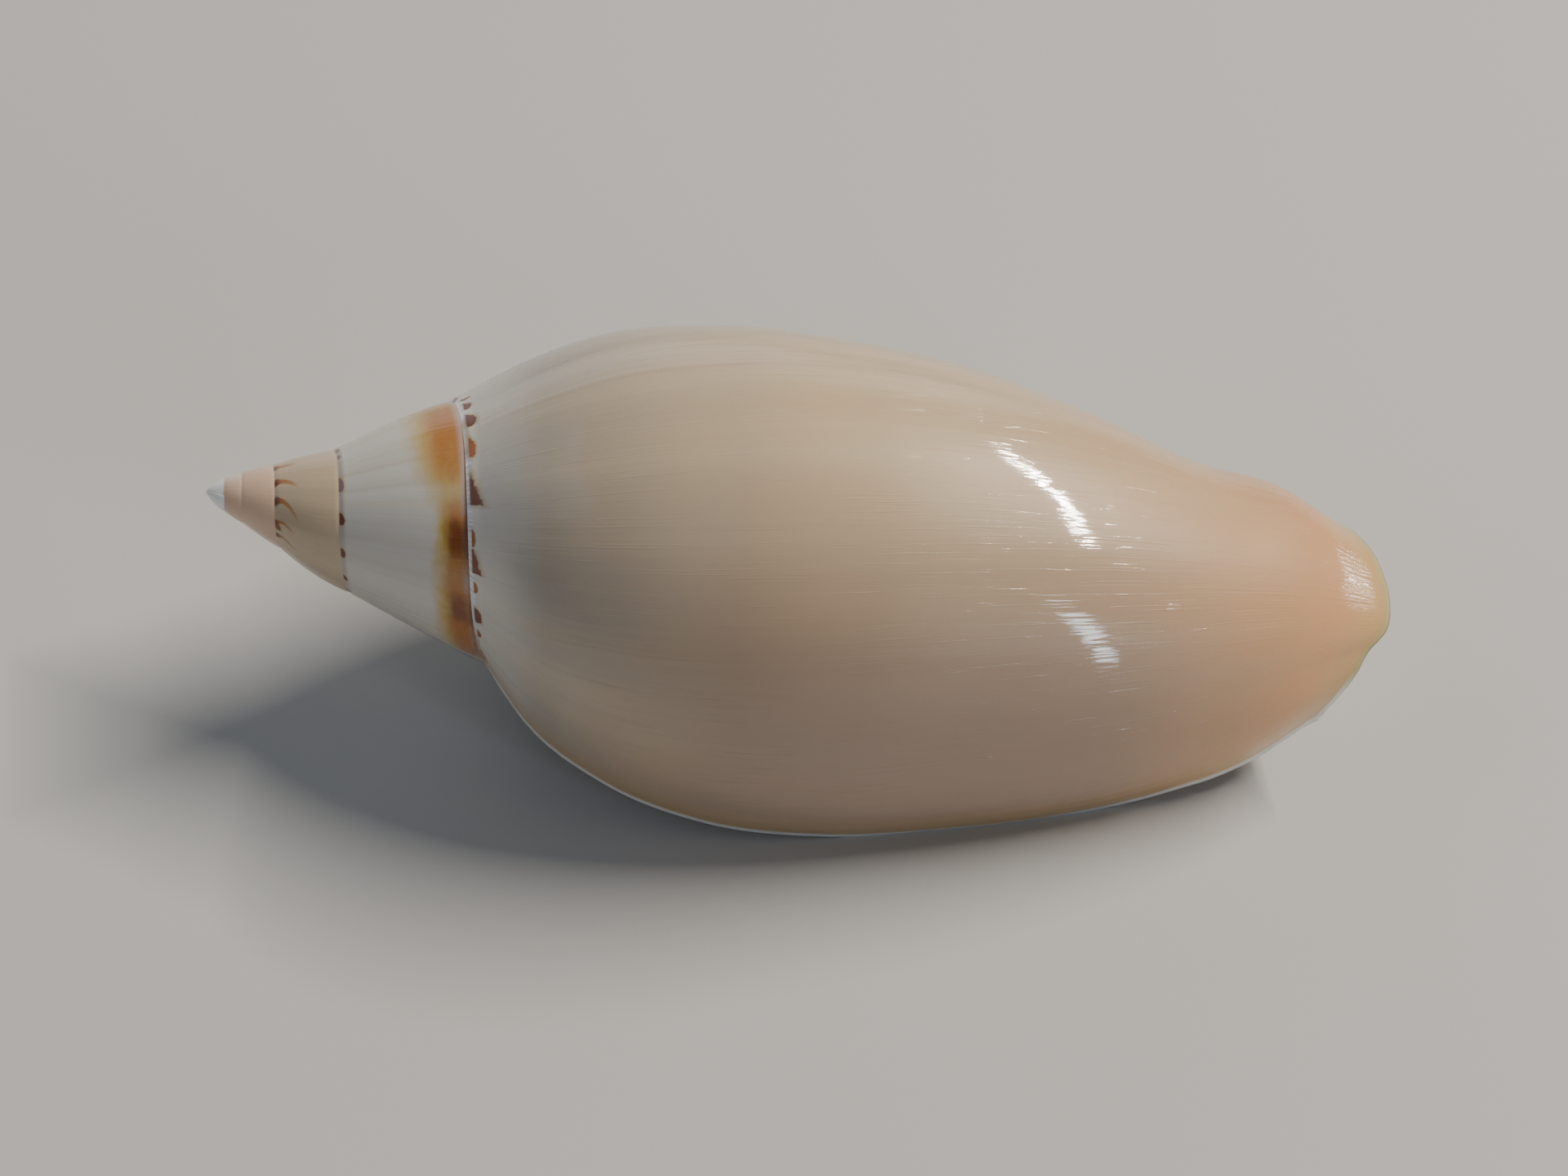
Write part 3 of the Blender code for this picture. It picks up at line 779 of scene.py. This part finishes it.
def body_colour(nodes, tints, growth, share):
    """Colour of the whorls before any mark: greyish behind, partly painted shade, cream in the
    middle, peach in front.
    """
    place_of = nodes.add("ShaderNodeTexCoord").outputs["Object"]
    drift = nodes.stir(share, nodes.noise(place_of, 55.0, 3.0), 0.3)
    # Greyish behind: partly the shell's own tone, partly painted shade on the side turned from the
    # light.
    body = nodes.mix(nodes.step(drift, 0.0, 0.38), tints.back, tints.middle)
    body = nodes.mix(nodes.step(drift, 0.5, 1.02), body, tints.front)
    body = nodes.mix(nodes.step(growth, -352.0, -366.0), body, tints.whorl)
    body = nodes.mix(nodes.step(growth, -716.0, -724.0), body, tints.third)

    # Streaks parallel to the lip: fine ones, and broad ones that come and go.
    lengthwise = nodes.times(share, 2.5)
    slanted = nodes.math("MULTIPLY_ADD", share, LINE_SLANT, growth)
    thin = nodes.noise(nodes.vector(slanted, lengthwise), 0.55, 4.0, 0.65)
    broad = nodes.noise(nodes.vector(slanted, lengthwise, 7.0), 0.075)
    pale = nodes.math("MULTIPLY_ADD", thin, 0.3, nodes.times(broad, 0.7))
    clear = nodes.step(share, 0.95, 0.5, 0.1, 0.8)
    body = nodes.over(body, tints.streak, nodes.step(pale, 0.42, 0.68, 0.0, 0.45), clear)
    dull = nodes.noise(nodes.vector(slanted, lengthwise, 13.0), 0.11, 3.0)
    body = nodes.over(body, tints.dull, nodes.step(dull, 0.5, 0.78, 0.0, 0.35), clear)

    # Painted shade: darker and duller towards the lip, but not at its front or by the spire.
    body = nodes.over(body, tints.lip_side_shade, nodes.step(growth, -118.0, -44.0),
                      nodes.step(share, 0.94, 0.68), nodes.step(share, 0.07, 0.37), 0.8)

    # Rosy early whorls and white tip.
    body = nodes.mix(nodes.step(growth, -1076.0, -1084.0), body, tints.rosy)
    return nodes.mix(nodes.step(growth, -1500.0, -1800.0), body, tints.tip)


def band_colour(nodes, tints, body, growth, above):
    """Adds the band before the last seam: yellow edge, orange-brown, dark patches, pink rim."""
    ripple = nodes.noise(nodes.vector(nodes.times(growth, 0.12), above), 1.3, 3.0)
    depth = nodes.math("DIVIDE", nodes.stir(above, ripple, 0.9), nodes.mark("band_reach"))
    turn = nodes.times(nodes.step(growth, -358.0, -364.0), nodes.step(growth, -735.0, -712.0))
    force = nodes.times(nodes.mark("band_force"), turn)
    dark = nodes.stir(nodes.mark("band_dark"), ripple, 0.5)
    warm = nodes.mix(nodes.step(dark, 0.1, 0.5), tints.halo, tints.band)
    warm = nodes.mix(nodes.step(dark, 0.6, 0.95), warm, tints.brown)
    body = nodes.over(body, tints.halo, nodes.step(depth, 1.45, 0.85), force, 0.9)
    body = nodes.over(body, warm, nodes.step(depth, 1.02, 0.55), force, 0.92)
    return nodes.over(body, tints.seam, nodes.step(above, 0.75, 0.25),
                      nodes.step(dark, 0.75, 0.5, 0.15, 0.75), turn)


def seam_colour(nodes, tints, body, growth, below):
    """Adds the glazed thread with painted glints, a painted lighter shoulder, the spots and the
    wavy lines just below the seams.
    """
    glaze = nodes.mark("glaze")
    last = nodes.step(growth, -364.0, -356.0)
    # Painted light: a pale band below the last seam lifts the shoulder where it turns from the
    # light.
    body = nodes.over(body, tints.shoulder_light, nodes.step(below, 7.0, 0.5, 0.0, 0.75), last)
    # Painted glints: the pale thread whitens by its brightness table and a flicker noise.
    glint_flicker = nodes.step(nodes.noise(nodes.vector(growth), 0.6), 0.35, 0.6, 0.45, 1.0)
    thread_with_glints = nodes.mix(nodes.times(nodes.step(glaze, 0.2, 0.9), glint_flicker), tints.seam, tints.glaze)
    body = nodes.over(body, thread_with_glints, nodes.step(below, 0.50, 0.38), last,
                      nodes.step(glaze, 0.05, 0.4, 0.2, 0.95))
    body = nodes.over(body, tints.seam, nodes.step(growth, -356.0, -364.0),
                      nodes.step(below, 0.6, 0.25), nodes.step(growth, -724.0, -716.0, 0.0, 0.6))

    # A spot's place across and down runs from 0 to 1: an oval and a wedge, mixed by its form.
    grain = nodes.noise(nodes.add("ShaderNodeTexCoord").outputs["Object"], 3200.0)
    across, down = nodes.mark("spot_u"), nodes.mark("spot_v")
    centred = nodes.math("MULTIPLY_ADD", across, 2.0, -1.0)
    past = nodes.math("MAXIMUM", down, 0.0)
    oval = nodes.math("SUBTRACT", 1.0, nodes.times(centred, centred))
    oval = nodes.math("SUBTRACT", oval, nodes.times(past, past))
    wedge = nodes.math("MINIMUM", nodes.math("SUBTRACT", nodes.math("ADD", across, 0.1), past),
                       nodes.times(nodes.math("SUBTRACT", 1.0, across), 5.0))
    form = nodes.mark("spot_form")
    inner = nodes.math("ADD", nodes.times(oval, nodes.math("SUBTRACT", 1.0, form)),
                       nodes.times(wedge, form))
    inner = nodes.stir(inner, grain, 0.55)
    body = nodes.over(body, tints.halo, nodes.step(inner, -0.75, 0.05),
                      nodes.step(down, -0.5, 0.0), 0.45)
    tone = nodes.mark("spot_tone")
    ink = nodes.mix(nodes.step(tone, 0.0, 1.0), tints.spot, tints.ember)
    ink = nodes.mix(nodes.step(tone, 0.0, -1.0), ink, tints.faded)
    body = nodes.over(body, ink, nodes.step(inner, -0.08, 0.22),
                      nodes.step(down, -0.25, -0.02), 0.95)

    # A line widens towards the seam and fades at its end.
    run = nodes.mark("line_run")
    third = nodes.times(nodes.step(growth, -716.0, -722.0), nodes.step(growth, -1084.0, -1076.0))
    side = nodes.math("ABSOLUTE", nodes.mark("line_side"))
    width = nodes.step(run, 0.02, 0.35, 1.9, 1.0)
    shade = nodes.mix(nodes.step(run, 0.05, 0.35), tints.spot, tints.line)
    return nodes.over(body, shade, nodes.step(nodes.math("DIVIDE", side, width), 1.5, 0.7), third,
                      nodes.step(run, 1.1, 0.75), nodes.step(run, 0.3, 1.0, 0.9, 0.5))


def mouth_colour(nodes, tints, body, growth, share, edge, inside):
    """Adds the warm margin and pale rim of the lip, and the colours inside the mouth."""
    body = nodes.over(body, tints.blush, nodes.step(edge, 8.0, 3.0),
                      nodes.step(share, 0.72, 0.95), 0.55)
    body = nodes.over(body, tints.margin, nodes.step(edge, 5.0, 0.8), 0.7)
    pale = nodes.mix(nodes.step(growth, -14.0, -40.0), tints.rim, tints.canal)
    body = nodes.over(body, pale, nodes.step(edge, 0.7, 0.35), 0.9)
    deep = nodes.mix(nodes.step(share, 0.1, 0.9), tints.inside_back, tints.inside_front)
    deep = nodes.over(deep, tints.rim, nodes.step(edge, 5.0, 0.5), 0.7)
    return nodes.mix(inside, body, deep)


def shell_material(tints):
    """Glossy cream shell: growth streaks, seam spots, orange band, rosy tip and pale lip."""
    material = bpy.data.materials.new("volute_shell_gloss")
    material.use_nodes = True
    tree = material.node_tree
    surface = tree.nodes["Principled BSDF"]
    nodes = Nodes(tree)
    growth, below, share = nodes.mark("growth"), nodes.mark("below"), nodes.mark("share")
    body = body_colour(nodes, tints, growth, share)
    body = band_colour(nodes, tints, body, growth, nodes.mark("above"))
    body = seam_colour(nodes, tints, body, growth, below)
    body = mouth_colour(nodes, tints, body, growth, share, nodes.mark("edge"), nodes.mark("inside"))
    nodes.put(surface.inputs["Base Color"], body)
    for name, value in GLOSS.items():
        surface.inputs[name].default_value = value

    # Relief: fine growth lines, which the gloss shows much more than the colour does.
    lengthwise = nodes.times(share, 1.6)
    slanted = nodes.math("MULTIPLY_ADD", share, LINE_SLANT, growth)
    striae = nodes.noise(nodes.vector(slanted, lengthwise, 2.0), 1.1)
    lines = nodes.noise(nodes.vector(slanted, lengthwise, 5.0), 0.25, 1.0)
    sharp = nodes.noise(nodes.vector(slanted, nodes.times(share, 4.0), 9.0), 1.9, 1.0)
    height = nodes.math("MULTIPLY_ADD", lines, 1.6, nodes.times(striae, 0.85))
    height = nodes.math("MULTIPLY_ADD", nodes.step(sharp, 0.60, 0.70), 0.9, height)
    for target, distance in RELIEF.items():
        bump = nodes.add("ShaderNodeBump")
        bump.inputs["Strength"].default_value = RELIEF_STRENGTH
        bump.inputs["Distance"].default_value = distance
        nodes.put(bump.inputs["Height"], height)
        nodes.put(surface.inputs[target], bump.outputs["Normal"])
    return material


def tint(name, description, value):
    """A colour property."""
    return bpy.props.FloatVectorProperty(name=name, description=description, subtype="COLOR",
                                         size=3, min=0.0, max=1.0, default=value)


def number(name, description, value, **limits):
    """A number property."""
    return bpy.props.FloatProperty(name=name, description=description, default=value, **limits)


def size_mm(name, description, value, most):
    """A size property in millimetres."""
    return number(name, description + ", mm", value, min=0.0, max=most)


class VoluteShape(bpy.types.PropertyGroup):
    """Sizes of the shell's finer forms."""

    wall: size_mm("Wall", "Thickness of the last whorl", 1.3, 3.0)
    lip_edge: size_mm("Lip edge", "Thickness of the outer lip", 0.7, 2.0)
    lip_curl: size_mm("Lip curl", "How far the lip's very edge turns outwards", 0.28, 1.0)
    canal_curl: size_mm("Canal curl", "How far the canal's edge turns outwards", 0.28, 1.0)
    lip_nicks: number("Lip nicks", "Depth of the small nicks in the lip, degrees", 0.55,
                      min=0.0, max=3.0)
    fold_height: size_mm("Folds", "Height of the folds on the pillar", 0.95, 2.0)
    seam_thread: size_mm("Seam thread", "Height of the thread below the last seam", 0.13, 0.5)
    seam_groove: size_mm("Seam groove", "Depth of the groove along the seams", 0.08, 0.5)
    pillar_dome: size_mm("Pillar end", "How far the end of the pillar is rounded", 0.6, 2.0)


class VoluteTints(bpy.types.PropertyGroup):
    """Colours of the shell."""

    # Partly painted shade: the greyish back of the last whorl.
    back: tint("Back", "Last whorl near the spire", (0.41, 0.38, 0.345))
    middle: tint("Middle", "Middle of the last whorl", (0.58, 0.42, 0.26))
    front: tint("Front", "Last whorl near the canal", (0.64, 0.34, 0.16))
    whorl: tint("Whorl", "Second whorl from the lip", (0.64, 0.61, 0.56))
    third: tint("Third whorl", "Third whorl from the lip", (0.55, 0.42, 0.29))
    streak: tint("Streak", "Pale streaks along the growth lines", (0.66, 0.53, 0.36))
    dull: tint("Dull streak", "Dull streaks along the growth lines", (0.40, 0.30, 0.21))
    halo: tint("Halo", "Yellow edge of the band and of the spots", (0.56, 0.35, 0.06))
    band: tint("Band", "Orange band before the last seam", (0.43, 0.14, 0.022))
    brown: tint("Brown", "Dark patches of the band", (0.20, 0.045, 0.010))
    seam: tint("Seam", "Pinkish glaze along the seams", (0.44, 0.32, 0.29))
    # Painted light on the shoulder just below the last seam.
    shoulder_light: tint("Shoulder", "Just below the last seam", (0.80, 0.75, 0.68))
    # Painted shade: darkens and dulls the body towards the lip.
    lip_side_shade: tint("Late", "Body towards the lip", (0.34, 0.235, 0.18))
    rosy: tint("Rosy", "Early whorls", (0.72, 0.49, 0.35))
    tip: tint("Tip", "Tip of the spire", (1.0, 1.0, 1.0))
    # Painted glints on the pale glazed thread.
    glaze: tint("Glaze", "Thread along the last seam", (0.94, 0.96, 1.0))
    spot: tint("Spot", "Spots below the seams", (0.15, 0.022, 0.005))
    ember: tint("Ember", "Orange spots below the seams", (0.42, 0.12, 0.025))
    faded: tint("Faded", "Greyish spots below the seams", (0.24, 0.17, 0.18))
    line: tint("Line", "Wavy lines of the third whorl", (0.42, 0.15, 0.02))
    blush: tint("Blush", "Rosy zone at the front end", (0.66, 0.32, 0.15))
    margin: tint("Margin", "Zone inside the lip's rim", (0.60, 0.38, 0.15))
    rim: tint("Rim", "Rim of the lip", (0.80, 0.79, 0.77))
    canal: tint("Canal", "Rim of the canal", (0.50, 0.40, 0.17))
    inside_back: tint("Inside back", "Inside near the spire", (0.62, 0.43, 0.28))
    inside_front: tint("Inside front", "Inside near the canal", (0.68, 0.37, 0.18))


class VoluteStage(bpy.types.PropertyGroup):
    """Floor, lights and camera."""

    floor: tint("Floor", "Colour of the floor", (0.56, 0.55, 0.54))
    key_power: number("Key", "Power of the main light, watts", 12.7, min=0.0)
    low_power: number("Low", "Power of the low light, watts", 1.4, min=0.0)
    glint_power: number("Glint", "Power of the light in front, watts", 1.0, min=0.0)
    fill_power: number("Fill", "Power of the fill light, watts", 1.5, min=0.0)
    back_power: number("Back", "Power of the back light, watts", 2.2, min=0.0)
    sky: number("Sky", "Strength of the even light", 0.09, min=0.0)
    distance: number("Distance", "Camera distance", 0.3, unit="LENGTH")
    elevation: number("Elevation", "Camera height above the horizon", np.radians(45.0),
                      subtype="ANGLE")
    azimuth: number("Azimuth", "Camera turn towards the front", np.radians(1.0), subtype="ANGLE")
    lens: number("Lens", "Focal length, mm", 100.0, min=1.0)


class VOLUTE_OT_shell(bpy.types.Operator):
    """Builds the shell with its markings"""

    bl_idname = "volute.shell"
    bl_label = "Shell"
    bl_options = {"REGISTER", "UNDO"}

    def execute(self, context):
        shell = shell_object(context.scene.volute_shape)
        shell.data.materials.append(shell_material(context.scene.volute_tints))
        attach(shell, "root")
        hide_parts("shell")
        return {"FINISHED"}


class VOLUTE_OT_stage(bpy.types.Operator):
    """Adds the floor, the lights and the camera"""

    bl_idname = "volute.stage"
    bl_label = "Stage"
    bl_options = {"REGISTER", "UNDO"}

    def execute(self, context):
        stage = context.scene.volute_stage
        add_floor(stage)
        add_lights(context.scene, stage)
        add_camera(context.scene, stage)
        return {"FINISHED"}


def add_floor(stage):
    """Pale floor: one flat square."""
    mesh = bpy.data.meshes.new("floor")
    corners = ((-1.0, -1.0), (1.0, -1.0), (1.0, 1.0), (-1.0, 1.0))
    points = [(FLOOR_HALF * x, FLOOR_HALF * y, 0.0) for x, y in corners]
    mesh.from_pydata(points, [], [(0, 1, 2, 3)])
    floor = new_object("floor", mesh)
    material = bpy.data.materials.new("pale_floor")
    material.use_nodes = True
    surface = material.node_tree.nodes["Principled BSDF"]
    surface.inputs["Base Color"].default_value = colour(stage.floor)
    surface.inputs["Roughness"].default_value = FLOOR_ROUGHNESS
    mesh.materials.append(material)


def add_light(name, towards, long_way, distance, size, power, tint_of):
    """Soft panel that looks at the shell from a direction, with its long side the way given."""
    light = bpy.data.lights.new(name, "AREA")
    light.shape = "RECTANGLE"
    light.size, light.size_y = size
    light.energy = power
    light.color = tint_of
    lamp = new_object(name, light)
    towards = Vector(towards).normalized()
    side = Vector(long_way).cross(towards).normalized()
    turn = Matrix((side, towards.cross(side), towards)).transposed()
    lamp.location = towards * distance
    lamp.rotation_euler = turn.to_euler()


def add_lights(scene, stage):
    """Key panel from the right and above, a cool low one, a glint, fill, back and even light."""
    for name, (towards, long_way, distance, size, tint_of) in LIGHTS.items():
        power = getattr(stage, name + "_power")
        add_light(name, towards, long_way, distance, size, power, tint_of)
    world = bpy.data.worlds.new("studio")
    world.use_nodes = True
    even = world.node_tree.nodes["Background"]
    even.inputs["Color"].default_value = colour(SKY_COLOUR)
    even.inputs["Strength"].default_value = stage.sky
    scene.world = world


def add_camera(scene, stage):
    """Camera at the photograph's angle, aimed just below the middle of the shell."""
    data = bpy.data.cameras.new("camera")
    data.lens = stage.lens
    data.sensor_width = SENSOR_WIDTH
    camera = new_object("camera", data)
    turn, rise = stage.azimuth, stage.elevation
    towards = Vector((np.sin(turn) * np.cos(rise), -np.cos(turn) * np.cos(rise), np.sin(rise)))
    camera.location = Vector(CAMERA_TARGET) + towards * stage.distance
    camera.rotation_euler = towards.to_track_quat("Z", "Y").to_euler()
    scene.camera = camera


class VOLUTE_PT_panel(bpy.types.Panel):
    """Lists the pieces and their settings"""

    bl_label = "Volute Shell"
    bl_idname = "VOLUTE_PT_panel"
    bl_space_type = "VIEW_3D"
    bl_region_type = "UI"
    bl_category = "Volute"

    def draw(self, context):
        buttons = {"volute_shape": "volute.shell", "volute_stage": "volute.stage"}
        for group in SETTINGS:
            box = self.layout.box()
            if group in buttons:
                box.operator(buttons[group])
            settings = getattr(context.scene, group)
            for name in settings.__annotations__:
                box.prop(settings, name)


SETTINGS = {"volute_shape": VoluteShape, "volute_tints": VoluteTints, "volute_stage": VoluteStage}
CLASSES = (*SETTINGS.values(), VOLUTE_OT_shell, VOLUTE_OT_stage, VOLUTE_PT_panel)


def register():
    """Registers the classes and their settings."""
    for cls in CLASSES:
        bpy.utils.register_class(cls)
    for name, group in SETTINGS.items():
        setattr(bpy.types.Scene, name, bpy.props.PointerProperty(type=group))


def unregister():
    """Removes the settings and the classes."""
    for name in SETTINGS:
        delattr(bpy.types.Scene, name)
    for cls in reversed(CLASSES):
        bpy.utils.unregister_class(cls)


def main():
    """Builds everything."""
    register()
    bpy.ops.volute.shell()
    bpy.ops.volute.stage()


if __name__ == "__main__":
    main()
